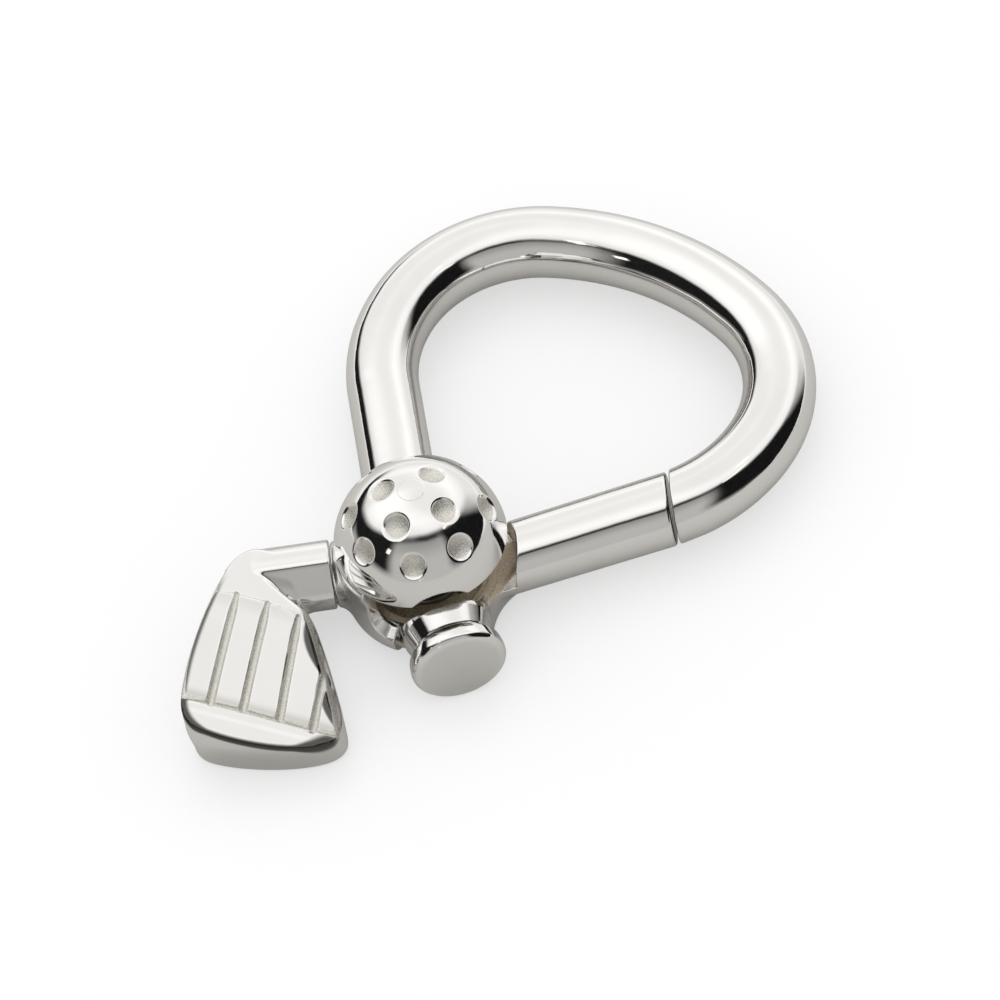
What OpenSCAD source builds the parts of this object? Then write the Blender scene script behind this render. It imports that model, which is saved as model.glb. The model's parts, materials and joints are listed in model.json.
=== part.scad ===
// Golf themed key ring with a sprung, pivoting gate.
// Two round bars cross under a dimpled half ball. One bar ends in a small
// iron club head, the other in a short grip. Pressing the grip towards the
// gate turns the lever about the pin and swings the gate inward.
// Origin: the middle of the loop's key space, at the mid plane of the bars.
// +Y runs along the loop, away from the pivot; +Z is the side the half ball
// stands on; the gate is on the +X side. The modules below are drawn about
// the pivot axis.

/* [Loop] */
// Diameter of the loop bar (mm)
rod_d = 5.0; // [4.6:0.1:5.2]
// Distance from the pivot to the far side of the loop centreline (mm)
loop_apex = 30.15; // [29:0.5:33]
// Distance from the pivot to the middle of the key space (mm)
key_y = 20; // [19:0.5:21]
// Sideways offset of the loop's own middle line from the pivot (mm)
loop_offset = 1.05; // [0.8:0.05:1.2]
// Centreline radius of the loop's far side (mm)
far_r = 20.7; // [19:0.1:22]
// Half of the angle that the far side turns through (degrees)
far_half = 22.5; // [20:0.5:25]
// Centreline radius of the loop's two shoulders (mm)
shoulder_r = 10.0; // [9.6:0.1:10.4]
// Centreline radius of the loop's lower sides (mm)
side_r = 11.5; // [11:0.1:12]
// Angle of the fixed arm from the loop's middle line (degrees)
fixed_arm_angle = 38; // [36:0.5:40]

/* [Gate] */
// Diameter of the gate bar at the joint (mm)
gate_d = 5.0; // [4.6:0.1:5.0]
// Diameter of the gate bar at its root (mm)
gate_root_d = 4.75; // [4.5:0.05:5.0]
// Angle of the gate from the loop's middle line (degrees)
gate_angle = 43.3; // [42.5:0.1:44]
// Distance of the gate's axis from the pivot axis (mm)
gate_offset = 0.93; // [0.8:0.01:1.1]
// Distance from the pivot to the oblique joint, along the gate (mm)
joint_dist = 17.1; // [16.6:0.05:17.4]
// How far the joint face is turned away from square (degrees)
joint_skew = 13; // [8:1:18]
// Gap left at the joint when the gate is closed (mm)
joint_gap = 0.16; // [0.06:0.02:0.2]

/* [Housing] */
// Outside radius of the housing cup (mm)
cup_r = 5.7; // [5.6:0.05:5.8]
// Inside radius of the housing cup (mm)
cup_in_r = 4.75; // [4.7:0.01:4.8]
// Height of the underside of the housing below the bar plane (mm)
cup_bottom = 2.6; // [2.5:0.05:2.8]
// Thickness of the housing floor (mm)
floor_t = 0.8; // [0.6:0.05:0.9]
// Height of the window sill relative to the bar plane (mm)
sill_z = -0.9; // [-1.2:0.05:-0.7]

/* [Half ball] */
// Radius of the half ball (mm)
ball_r = 5.84; // [5.7:0.02:6]
// Height of the ball's centre above the bar plane (mm)
ball_z = 3.4; // [3.3:0.05:3.5]
// Height of the ball's lower edge above its centre (mm)
ball_edge = 0.4; // [0.3:0.05:0.5]
// Wall thickness of the half ball (mm)
ball_wall = 0.9; // [0.8:0.05:1.1]
// Radius of one dimple's mouth (mm)
dimple_r = 0.95; // [0.7:0.05:1.0]
// Depth of one dimple (mm)
dimple_depth = 0.38; // [0.25:0.01:0.45]

/* [Pivot] */
// Diameter of the pivot pin (mm)
pin_d = 1.85; // [1.6:0.05:2]
// Outside diameter of the fixed bush that the lever turns on (mm)
bush_d = 3.0; // [2.8:0.05:3.1]
// Radial running clearance on the bush (mm)
run_fit = 0.04; // [0.02:0.01:0.08]
// Thickness of the two thrust washers (mm)
washer_t = 0.3; // [0.2:0.05:0.35]
// End float of the lever on each side (mm)
end_float = 0.05; // [0.03:0.01:0.06]

/* [Return spring] */
// Wire diameter of the torsion spring (mm)
wire_d = 0.5; // [0.4:0.05:0.5]
// Mean coil radius of the torsion spring (mm)
coil_r = 2.45; // [2.4:0.05:2.6]
// Number of coils
coil_turns = 4; // [3:1:4]

/* [Grip] */
// Diameter of the grip's neck (mm)
neck_d = 6.0; // [5.6:0.1:6.2]
// Diameter of the grip's end cap (mm)
cap_d = 6.5; // [6.2:0.1:6.8]
// Direction of the grip from +X (degrees)
grip_angle = -44.4; // [-46:0.2:-43]
// Distance from the pivot to the flat end of the cap (mm)
grip_end = 8.4; // [8.2:0.1:8.8]
// Length of the cap (mm)
cap_len = 1.35; // [1.2:0.05:1.5]
// Width of the groove between neck and cap (mm)
groove_w = 0.4; // [0.3:0.05:0.5]

/* [Club head] */
// Diameter of the hosel (mm)
hosel_d = 4.7; // [4.4:0.1:4.9]
// Height of the head's flat back below the bar plane (mm)
head_bottom = 3.2; // [3:0.1:3.3]
// Height of the face's upper edge at the sole side (mm)
head_top = 2.9; // [2.6:0.1:3.1]
// Slope of the face down towards the top line (degrees)
face_slope = 16; // [14:0.5:18]
// Number of face grooves
groove_n = 4; // [2:1:4]
// Width of a face groove (mm)
score_w = 0.5; // [0.3:0.05:0.7]
// Depth of a face groove (mm)
score_depth = 0.3; // [0.15:0.05:0.4]

/* [Hidden] */
$fn = 72;
// place of the pivot axis in the key ring's frame
pivot_at = [-loop_offset, -key_y, 0];

// distance from the pivot to the seams of the hosel and the fixed arm
seam_r = 6.3;

// loop: far side, shoulders and lower sides run tangent to each other;
// centre x is measured from the loop's middle line
rod_r = rod_d / 2;
seated_r = rod_r + 0.015;
far_y = loop_apex - far_r;
shoulder_x = (far_r - shoulder_r) * sin(far_half);
shoulder_y = far_y + (far_r - shoulder_r) * cos(far_half);
side_x = shoulder_x + shoulder_r - side_r;
// angles by which the ends of the bends run on into their neighbours
far_lap = 0.4;
side_lap = 0.6;
// where the +X lower side starts, before the joint face cuts it
gate_side_start = -44;

// straight fixed arm: starts at the end of the -X lower side
arm_start = [loop_offset - (side_x + side_r * cos(fixed_arm_angle)),
             shoulder_y - side_r * sin(fixed_arm_angle)];
arm_dir = [sin(fixed_arm_angle), -cos(fixed_arm_angle)];
arm_len = -arm_start * arm_dir - seam_r;

// gate: unit vector along it, and the foot of its axis next to the pivot
gate_dir = [sin(gate_angle), cos(gate_angle)];
gate_foot = [gate_offset * cos(gate_angle), -gate_offset * sin(gate_angle)];
joint_at = gate_foot + joint_dist * gate_dir;
// uncut bar, running on past the joint with the same taper
gate_len = joint_dist + 5;
gate_end_d = gate_root_d + (gate_d - gate_root_d) * gate_len / joint_dist;

// housing: rounding of its lower edge, and bearings of the window
cup_edge_r = 1.1;
window_start = -101;
window_open_start = -84;
window_end = 99;

// half ball
dome_z = ball_z + ball_edge;
ball_in = ball_r - ball_wall;
// radius of the sphere that cuts a dimple, and its distance from the ball's centre
dimple_sphere_r = (dimple_r * dimple_r + dimple_depth * dimple_depth) / (2 * dimple_depth);
dimple_dist = ball_r * cos(asin(dimple_r / ball_r)) - dimple_depth + dimple_sphere_r;
// rows of dimples: tilt from the pattern's own axis, count, first bearing
dimple_rows = [[23.4, 4, 2], [50.8, 8, -16]];
// the pattern leans a little from the crown
lean_tilt = 4.1;
lean_bearing = -45;

// heights from the housing floor up to the post
floor_z = -cup_bottom + floor_t;
hub_z = floor_z + washer_t + end_float;
chamber_z = -0.75;
boss_top = 0.0;
hub_rim = 0.1;
post_z = boss_top + end_float + washer_t;
bush_top = post_z + 1.2;

// radii about the pivot
pin_r = pin_d / 2;
bush_r = bush_d / 2;
washer_r = 1.95;
boss_r = 1.9;
post_r = 1.75;
chamber_r = 3.9;
hub_r = cup_in_r - 0.12;
skirt_in = cup_in_r + 0.15;
gate_clear_r = 6.15;

// return spring
coil_z = chamber_z + wire_d / 2 + 0.05;
coil_pitch = wire_d + 0.12;
upper_leg_angle = 40;
lower_leg_z = -1.25;
upper_leg_z = 3.8;

// grip: distances from the pivot along its axis
grip_dir = [cos(grip_angle), sin(grip_angle)];
cap_start = grip_end - cap_len;
neck_end = cap_start - groove_w;
spigot_end = cap_start + 0.7;
spigot_r = 1.5;

// club head frame: x from heel to toe, y from sole to top line
head_at = [-10.35, -6.3];
head_turn = -71;
blank_top = 3.4;
face_edge_y = -1.8;
hosel_angle = 215.3;
hosel_side = 1.0;
hosel_len = 5.2;
// outline of the head: x, y
head_outline = [
    [-2.0, 0.7], [-1.2, -0.4], [0.6, -1.2], [4.5, -1.8], [9.0, -2.0],
    [11.2, -1.7], [12.1, -1.1], [12.5, -0.1], [12.65, 2], [12.45, 4.6],
    [11.9, 6.9], [11.2, 8.2], [10.3, 8.7], [9.4, 8.5], [7.2, 7.5],
    [4.3, 6.1], [2.2, 4.9], [1.0, 3.6], [-0.8, 2.6]];
// face grooves from the sole up: start x, length
score_spans = [[1.6, 9.4], [1.6, 9.4], [1.9, 9.4], [5.8, 5.1]];
score_first = 1.75;
score_pitch = 2.3;

// ---- Shared shapes ----

// round block on the pivot axis
module disc(bottom, top, radius, facets = 96)
    translate([0, 0, bottom]) cylinder(h = top - bottom, r = radius, $fn = facets);

// round bar in the bar plane, along the unit vector dir
module bar(start, dir, length, start_r, end_r)
    translate([start[0], start[1], 0])
        rotate([0, 0, atan2(dir[1], dir[0])]) rotate([0, 90, 0])
            cylinder(h = length, r1 = start_r, r2 = end_r, $fn = 48);

module arm_bar(start, length, radius)
    bar(arm_start + start * arm_dir, arm_dir, length, radius, radius);

module grip_bar(start, end, radius)
    bar(grip_dir * start, grip_dir, end - start, radius, radius);

module hosel_bar(start, length, radius)
    rotate([0, 0, hosel_angle]) translate([start, -hosel_side, 0]) rotate([0, 90, 0])
        cylinder(h = length, r = radius, $fn = 48);

module ball_sphere(radius)
    translate([0, 0, ball_z]) sphere(r = radius, $fn = 96);

// hole for a leg of the spring
module leg_hole(angle, bottom, top)
    rotate([0, 0, angle]) translate([coil_r, 0, bottom])
        cylinder(h = top - bottom, r = wire_d / 2 + 0.05, $fn = 32);

// block that cuts a bar off at the oblique joint face: 1 for the gate, -1 for the loop
module joint_side(side) {
    size = 8;
    translate([joint_at[0], joint_at[1], 0])
        rotate([0, 0, 90 - gate_angle - joint_skew])
            translate([side > 0 ? -joint_gap / 2 : joint_gap / 2 - size, -size / 2, -size / 2])
                cube([size, size, size]);
}

// ---- Loop ----

// one bend of the loop, in plan
module ring_arc(centre_x, centre_y, radius, from, to, bar_r)
    translate([loop_offset + centre_x, centre_y, 0]) rotate([0, 0, from])
        rotate_extrude(angle = to - from, $fn = 120)
            translate([radius, 0]) circle(r = bar_r, $fn = 48);

// the shoulders and the straight arm are a hair thicker, so that the ends
// of their neighbours are seated in them
module loop_rod() color("silver") {
    difference() {
        union() {
            ring_arc(0, far_y, far_r, 90 - far_half - far_lap, 90 + far_half + far_lap, rod_r);
            ring_arc(shoulder_x, shoulder_y, shoulder_r, 0, 90 - far_half, seated_r);
            ring_arc(-shoulder_x, shoulder_y, shoulder_r, 90 + far_half, 180, seated_r);
            ring_arc(side_x, shoulder_y, side_r, gate_side_start, side_lap, rod_r);
            ring_arc(-side_x, shoulder_y, side_r,
                     180 - side_lap, 180 + fixed_arm_angle + side_lap, rod_r);
            arm_bar(0, arm_len, seated_r);
        }
        joint_side(-1);
    }
}

// ---- Housing ----

// pie shaped block between two bearings, reaching beyond the cup
module wedge(from, to, bottom) {
    steps = 16;
    top = 8;
    reach = (cup_r + 2) * 1.4;
    span = to - from;
    rotate([0, 0, from]) translate([0, 0, bottom]) linear_extrude(height = top - bottom)
        polygon(concat(
            [[0, 0]],
            [for (i = [0:steps]) reach * [cos(span * i / steps), sin(span * i / steps)]]));
}

// cup with a rounded lower edge and a bore for the pin
module cup_shell()
    rotate_extrude($fn = 96)
        polygon(concat(
            [[pin_r, -cup_bottom]],
            [for (a = [-90:15:0])
                [cup_r - cup_edge_r + cup_edge_r * cos(a),
                 -cup_bottom + cup_edge_r + cup_edge_r * sin(a)]],
            [[cup_r, dome_z], [cup_in_r, dome_z], [cup_in_r, floor_z], [pin_r, floor_z]]));

module housing_cup() color("gainsboro") {
    difference() {
        union() {
            cup_shell();
            // seats of the hosel and of the loop's fixed arm
            difference() {
                union() {
                    hosel_bar(0, seam_r, hosel_d / 2 - 0.1);
                    arm_bar(arm_len, 3.5, rod_r - 0.08);
                }
                disc(-5, 7, cup_r - 0.3);
            }
        }
        // window: down to the sill over its whole width
        wedge(window_start, window_end, sill_z);
        // and right through the wall, except for a strip at its grip end
        difference() {
            wedge(window_open_start, window_end, -5);
            disc(-6, 10, cup_in_r);
        }
    }
}

// ---- Club head ----

// puts a shape on the sloping face, with z square to it
module on_face()
    translate([0, face_edge_y, head_top]) rotate([-face_slope, 0, 0]) children();

module score(i)
    on_face() translate([score_spans[i][0], score_first + score_pitch * i, -score_depth])
        cube([score_spans[i][1], score_w, 2]);

module blade()
    translate([head_at[0], head_at[1], 0]) rotate([0, 0, head_turn])
        difference() {
            translate([0, 0, -head_bottom]) linear_extrude(height = head_bottom + blank_top)
                polygon(head_outline);
            on_face() translate([-20, -2, 0]) cube([60, 20, 8]);
            for (i = [0:groove_n - 1]) score(i);
        }

module club_head() color("silver") {
    union() {
        hosel_bar(seam_r, hosel_len, hosel_d / 2);
        blade();
    }
}

// ---- Half ball ----

module dimple(tilt, bearing)
    translate([0, 0, ball_z])
        rotate([0, 0, lean_bearing]) rotate([0, lean_tilt, 0]) rotate([0, 0, -lean_bearing])
            rotate([0, 0, bearing]) rotate([0, tilt, 0])
                translate([0, 0, dimple_dist]) sphere(r = dimple_sphere_r, $fn = 48);

module ball_dome() color("gainsboro") {
    difference() {
        intersection() {
            ball_sphere(ball_r);
            disc(dome_z, dome_z + 10, 8);
        }
        ball_sphere(ball_in);
        disc(ball_z, ball_z + 10, pin_r, 48);
        // arched notch over the grip
        rotate([0, 0, grip_angle - 1.5]) translate([3, 0, dome_z - 1.4]) rotate([0, 90, 0])
            cylinder(h = 5, r = 2.35, $fn = 48);
        for (row = dimple_rows) for (i = [0:row[1] - 1])
            dimple(row[0], row[2] + i * 360 / row[1]);
    }
}

// ---- Pivot ----

// turned post inside the ball: carries the spring and clamps the bush
module spring_post() color("darkgray") {
    difference() {
        union() {
            // upper part, rounded off to fit inside the ball
            intersection() {
                disc(post_z, post_z + 9, post_r, 64);
                ball_sphere(ball_in - 0.02);
            }
            // lower part, below the ball's inner sphere
            disc(post_z, post_z + 3, post_r, 64);
            // collar
            disc(3.2, 4.1, 3.2, 64);
        }
        disc(-1, 11, pin_r, 48);
        // bush seat
        disc(-1, bush_top, bush_r, 64);
        leg_hole(upper_leg_angle, 2.8, 4.8);
    }
}

// flush with the housing's underside, and rounded with the ball at the top
module pivot_pin() color("silver")
    intersection() {
        disc(-cup_bottom, -cup_bottom + 14, pin_r, 48);
        union() {
            ball_sphere(ball_r);
            disc(-cup_bottom, -cup_bottom + 8, 4, 48);
        }
    }

module pivot_bush() color("goldenrod")
    difference() {
        disc(floor_z, bush_top, bush_r, 64);
        disc(-5, 7, pin_r, 48);
    }

module washer(bottom)
    difference() {
        disc(bottom, bottom + washer_t, washer_r, 64);
        disc(bottom - 1, bottom + 2, bush_r, 64);
    }

module washer_lower() color("goldenrod") washer(floor_z);

module washer_upper() color("goldenrod") washer(post_z - washer_t);

// ---- Return spring ----

function unit(v) = v / norm(v);
function tangent(path, i) = unit(path[min(i + 1, len(path) - 1)] - path[max(i - 1, 0)]);
function coil_point(a) = [coil_r * cos(a), coil_r * sin(a), coil_z + coil_pitch * a / 360];

// closed tube swept along a list of points
module wire(path) {
    sides = 8;
    count = len(path);
    skin = [for (i = [0:count - 1])
        let (along = tangent(path, i),
             radial = unit([path[i][0], path[i][1], 0]),
             outward = unit(radial - (radial * along) * along),
             across = cross(along, outward))
        for (k = [0:sides - 1])
            path[i] + wire_d / 2 * (outward * cos(360 * k / sides)
                                    + across * sin(360 * k / sides))];
    // end faces, and two triangles for each side of each length
    faces = concat(
        [[for (k = [sides - 1:-1:0]) k]],
        [for (i = [0:count - 2]) for (k = [0:sides - 1])
            let (here = i * sides + k, next = i * sides + (k + 1) % sides)
            for (triangle = [[here, next, here + sides], [next, next + sides, here + sides]])
                triangle],
        [[for (k = [0:sides - 1]) (count - 1) * sides + k]]);
    polyhedron(points = skin, faces = faces, convexity = 10);
}

// leg down into the lever, coil, leg up into the post
module return_spring() color("dimgray") {
    end_angle = 360 * coil_turns + upper_leg_angle;
    steps = round(end_angle / 18);
    top = coil_point(end_angle);
    wire(concat(
        [[coil_r, 0, lower_leg_z], [coil_r, 0, coil_z - 0.2]],
        [for (i = [1:steps - 1]) coil_point(end_angle * i / steps)],
        [[top[0], top[1], top[2] + 0.25], [top[0], top[1], upper_leg_z]]));
}

// ---- Lever: hub, gate and grip ----

// space kept free inside the lever's outer parts: the hub's own body, and a
// wider room for the housing floor below skirt_top
module hub_space(skirt_top) {
    disc(-4, 4, hub_r - 0.5);
    disc(-4, skirt_top, skirt_in);
}

// web between the grip and the gate, seen from above, with a hollow outer edge
module web_outline()
    polygon(concat(
        [[0, 0], grip_dir * 6.4],
        [for (a = [-40:19:55]) [7.4, 1.1] + 2.3 * [-cos(a), sin(a)]],
        [gate_foot + 5.6 * gate_dir]));

module web() {
    web_bottom = -cup_bottom + 0.1;
    difference() {
        intersection() {
            translate([0, 0, web_bottom]) linear_extrude(height = hub_rim - web_bottom)
                web_outline();
            disc(-4, 4, 7.0);
        }
        hub_space(hub_z);
    }
}

// the gate's tapered bar, before its ends are shaped
module gate_bar()
    bar(gate_foot, gate_dir, gate_len, gate_root_d / 2, gate_end_d / 2);

// step that the gate arm sits on
module gate_seat()
    translate([gate_foot[0], gate_foot[1], 0]) rotate([0, 0, 90 - gate_angle])
        translate([-1, -4, -6]) cube([8.0, 8, 6 + hub_rim]);

module gate_root()
    difference() {
        intersection() {
            gate_bar();
            gate_seat();
        }
        hub_space(hub_z);
    }

module grip_neck()
    difference() {
        grip_bar(0, neck_end, neck_d / 2);
        hub_space(sill_z + 0.12);
        disc(hub_rim, hub_rim + 4, 5.3);
    }

module lever_hub() color("silver") {
    difference() {
        union() {
            // cup that turns inside the housing
            disc(hub_z, hub_rim, hub_r);
            web();
            gate_root();
            grip_neck();
            // bottom of the groove, and the spigot that carries the cap
            grip_bar(neck_end - 0.5, cap_start, neck_d / 2 - 0.35);
            grip_bar(cap_start - 0.5, spigot_end, spigot_r);
        }
        // spring chamber, leaving the boss around the bush
        difference() {
            disc(chamber_z, chamber_z + 6, chamber_r);
            disc(chamber_z - 1, boss_top, boss_r, 64);
        }
        disc(-5, 7, bush_r + run_fit, 64);
        leg_hole(0, -3, 1);
    }
}

module gate_arm() color("silver") {
    difference() {
        gate_bar();
        joint_side(1);
        // concave end that clears the ball and the housing
        disc(-6, 6, gate_clear_r);
        gate_seat();
    }
}

// cap with a small chamfer towards the neck and a rounded outer edge
module grip_cap() color("silver") {
    cap_r = cap_d / 2;
    chamfer = 0.1;
    edge_r = 0.3;
    difference() {
        translate([grip_dir[0] * cap_start, grip_dir[1] * cap_start, 0])
            rotate([0, 0, grip_angle]) rotate([0, 90, 0])
                rotate_extrude($fn = 72)
                    polygon(concat(
                        [[0, 0], [cap_r - chamfer, 0], [cap_r, chamfer]],
                        [for (a = [0:15:90])
                            [cap_r - edge_r + edge_r * cos(a),
                             cap_len - edge_r + edge_r * sin(a)]],
                        [[0, cap_len]]));
        grip_bar(cap_start - 1, spigot_end, spigot_r);
    }
}

translate(pivot_at) loop_rod();
translate(pivot_at) housing_cup();
translate(pivot_at) club_head();
translate(pivot_at) ball_dome();
translate(pivot_at) spring_post();
translate(pivot_at) pivot_pin();
translate(pivot_at) pivot_bush();
translate(pivot_at) washer_lower();
translate(pivot_at) washer_upper();
translate(pivot_at) return_spring();
translate(pivot_at) lever_hub();
translate(pivot_at) gate_arm();
translate(pivot_at) grip_cap();
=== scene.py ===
"""Looks for the golf key ring: polished castings grown as smooth distance fields
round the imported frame, studio light and the camera. Lengths inside the modelling
functions are in millimetres; everything handed to Blender is in metres."""
import json
import math
import bpy
import numpy as np
from mathutils import Matrix, Vector


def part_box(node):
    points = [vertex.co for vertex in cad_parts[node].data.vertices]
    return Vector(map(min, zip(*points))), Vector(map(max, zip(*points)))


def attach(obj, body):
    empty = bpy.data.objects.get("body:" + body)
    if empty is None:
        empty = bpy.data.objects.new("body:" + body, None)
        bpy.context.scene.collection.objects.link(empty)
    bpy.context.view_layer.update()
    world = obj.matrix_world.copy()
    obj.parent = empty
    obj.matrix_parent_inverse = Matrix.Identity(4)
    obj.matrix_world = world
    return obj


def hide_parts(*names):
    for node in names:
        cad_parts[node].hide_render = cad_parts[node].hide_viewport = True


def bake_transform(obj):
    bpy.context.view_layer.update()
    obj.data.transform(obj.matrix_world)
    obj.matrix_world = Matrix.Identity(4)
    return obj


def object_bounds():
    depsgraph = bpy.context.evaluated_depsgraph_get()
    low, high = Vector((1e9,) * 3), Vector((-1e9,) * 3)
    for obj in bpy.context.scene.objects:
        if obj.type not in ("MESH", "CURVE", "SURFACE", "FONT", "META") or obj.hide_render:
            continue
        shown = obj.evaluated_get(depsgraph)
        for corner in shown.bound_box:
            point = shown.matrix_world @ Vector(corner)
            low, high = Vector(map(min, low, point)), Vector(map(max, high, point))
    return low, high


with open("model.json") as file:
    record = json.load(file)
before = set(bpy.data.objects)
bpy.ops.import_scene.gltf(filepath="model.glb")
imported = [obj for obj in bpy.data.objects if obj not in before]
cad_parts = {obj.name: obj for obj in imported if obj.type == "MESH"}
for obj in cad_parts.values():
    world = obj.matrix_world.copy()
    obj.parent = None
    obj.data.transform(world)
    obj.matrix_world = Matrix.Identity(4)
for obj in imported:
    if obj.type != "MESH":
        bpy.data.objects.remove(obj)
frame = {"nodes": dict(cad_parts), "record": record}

MM = 0.001
CAD_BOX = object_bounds()

# ---------------------------------------------------------------- sizes taken from the frame
PIVOT = np.array([j for j in frame["record"]["behaviour"]["joints"] if j["name"] == "gate_swing"][0]["pos_m"], float)
PIV = PIVOT / MM                     # shapes below are drawn about the pivot axis


def node_box(name):
    lo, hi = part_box(name)
    return np.array(lo) / MM - PIV, np.array(hi) / MM - PIV


dome_lo, dome_hi = node_box("ball_dome")
cup_lo, cup_hi = node_box("housing_cup")
head_lo, head_hi = node_box("club_head")
hub_lo, hub_hi = node_box("lever_hub")
gate_lo, gate_hi = node_box("gate_arm")
pin_lo, pin_hi = node_box("pivot_pin")
floor_z = min(CAD_BOX[0][2], CAD_BOX[1][2])

BALL_R = 5.84
BALL_Z = pin_hi[2] - BALL_R          # the crown is the pin's polished end
DOME_Z = dome_lo[2]
CUP_BOTTOM = cup_lo[2]
BALL_C = (0.0, 0.0, BALL_Z)
ROD_R = 2.5


def rad(a):
    return a * math.pi / 180.0


# ---------------------------------------------------------------- distance field tools
def smin(a, b, k):
    h = np.maximum(k - np.abs(a - b), 0.0) / k
    return np.minimum(a, b) - h * h * k * 0.25


def smax(a, b, k):
    return -smin(-a, -b, k)


def step01(x, a, b):
    t = np.clip((x - a) / (b - a), 0.0, 1.0)
    return t * t * (3.0 - 2.0 * t)


def poly2(x, y, pts):
    """Signed distance to a closed outline in plan, negative inside."""
    d = np.full(np.broadcast(x, y).shape, 1e9)
    s = np.ones_like(d)
    n = len(pts)
    for i in range(n):
        (ax, ay), (bx, by) = pts[i], pts[i - 1]
        ex, ey = bx - ax, by - ay
        wx, wy = x - ax, y - ay
        t = np.clip((wx * ex + wy * ey) / (ex * ex + ey * ey), 0, 1)
        qx, qy = wx - ex * t, wy - ey * t
        d = np.minimum(d, qx * qx + qy * qy)
        c1, c2, c3 = y >= ay, y < by, ex * wy > ey * wx
        flip = (c1 & c2 & c3) | (~c1 & ~c2 & ~c3)
        s = np.where(flip, -s, s)
    return s * np.sqrt(d)


def round_outline(pts, times=2):
    """Corner cutting, so that an outline has no hard corners."""
    for _ in range(times):
        out = []
        for i in range(len(pts)):
            a, b = pts[i], pts[(i + 1) % len(pts)]
            out.append((a[0] * 0.75 + b[0] * 0.25, a[1] * 0.75 + b[1] * 0.25))
            out.append((a[0] * 0.25 + b[0] * 0.75, a[1] * 0.25 + b[1] * 0.75))
        pts = out
    return pts


def grow(name, field, lo, hi, h, shade=None):
    """Surface nets of field < 0 between lo and hi, pulled onto the zero surface, with normals from the field's slope.
    shade(x, y, z) gives the painted shade and painted dark reflection kept at each point."""
    n = [int(math.ceil((hi[i] - lo[i]) / h)) + 1 for i in range(3)]
    ax = [lo[i] + h * np.arange(n[i]) for i in range(3)]
    f = field(ax[0][:, None, None], ax[1][None, :, None], ax[2][None, None, :])
    f = np.broadcast_to(f, n).astype(np.float64)
    ins = f < 0
    cnt = np.zeros([m - 1 for m in n], np.uint8)
    sl = [(slice(0, -1), slice(1, None))] * 3
    corner = {}
    for i in (0, 1):
        for j in (0, 1):
            for k in (0, 1):
                corner[i, j, k] = (sl[0][i], sl[1][j], sl[2][k])
                cnt += ins[corner[i, j, k]]
    act = (cnt > 0) & (cnt < 8)
    ids = -np.ones(act.shape, np.int64)
    ids[act] = np.arange(act.sum())
    cells = np.argwhere(act)
    v = {c: f[corner[c]][act] for c in corner}
    acc = np.zeros((len(cells), 3))
    num = np.zeros(len(cells))
    keys = list(corner)
    for a in keys:
        for axis in range(3):
            if a[axis] == 0:
                b = list(a)
                b[axis] = 1
                b = tuple(b)
                fa, fb = v[a], v[b]
                hit = (fa < 0) != (fb < 0)
                t = np.where(hit, fa / np.where(fa == fb, 1, fa - fb), 0)
                p = np.array(a, float)[None, :].repeat(len(cells), 0)
                p[:, axis] = t
                acc += p * hit[:, None]
                num += hit
    pts = (cells + acc / num[:, None]) * h + np.array(lo)
    quads = []
    for axis in range(3):
        o1, o2 = [(1, 2), (2, 0), (0, 1)][axis]
        a = [slice(None)] * 3
        b = [slice(None)] * 3
        a[axis], b[axis] = slice(0, -1), slice(1, None)
        fa, fb = ins[tuple(a)], ins[tuple(b)]
        e = np.argwhere(fa != fb)
        ok = (e[:, o1] > 0) & (e[:, o2] > 0) & (e[:, o1] < n[o1] - 1) & (e[:, o2] < n[o2] - 1)
        e = e[ok]
        d1 = np.zeros(3, int); d1[o1] = 1
        d2 = np.zeros(3, int); d2[o2] = 1
        q = np.stack([ids[tuple((e - d1 - d2).T)], ids[tuple((e - d2).T)], ids[tuple(e.T)], ids[tuple((e - d1).T)]], 1)
        out = fa[tuple(e.T)]
        q[~out] = q[~out][:, ::-1]
        quads.append(q)
    quads = np.concatenate(quads)
    quads = quads[(quads >= 0).all(1)]

    def ev(p):
        return field(p[:, 0], p[:, 1], p[:, 2])

    def slope(p, e):
        g = np.zeros_like(p)
        for i in range(3):
            d = np.zeros(3); d[i] = e
            g[:, i] = (ev(p + d) - ev(p - d)) / (2 * e)
        return g

    for _ in range(2):
        g = slope(pts, 0.02)
        l2 = np.maximum((g * g).sum(1), 0.2)
        move = -(ev(pts) / l2)[:, None] * g
        ln = np.linalg.norm(move, axis=1)
        move *= np.minimum(1.0, 0.5 * h / np.maximum(ln, 1e-9))[:, None]
        pts = pts + move
    g = slope(pts, 0.03)
    nrm = g / np.maximum(np.linalg.norm(g, axis=1), 1e-9)[:, None]
    ob = make(name, pts, quads, nrm)
    if shade is not None:
        w = np.clip(np.broadcast_to(shade(pts[:, 0], pts[:, 1], pts[:, 2]), len(pts)), 0.0, 1.0)
        at = ob.data.attributes.new("painted_shade_and_reflection", "FLOAT", "POINT")
        at.data.foreach_set("value", w.astype(np.float32))
    return ob


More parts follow.
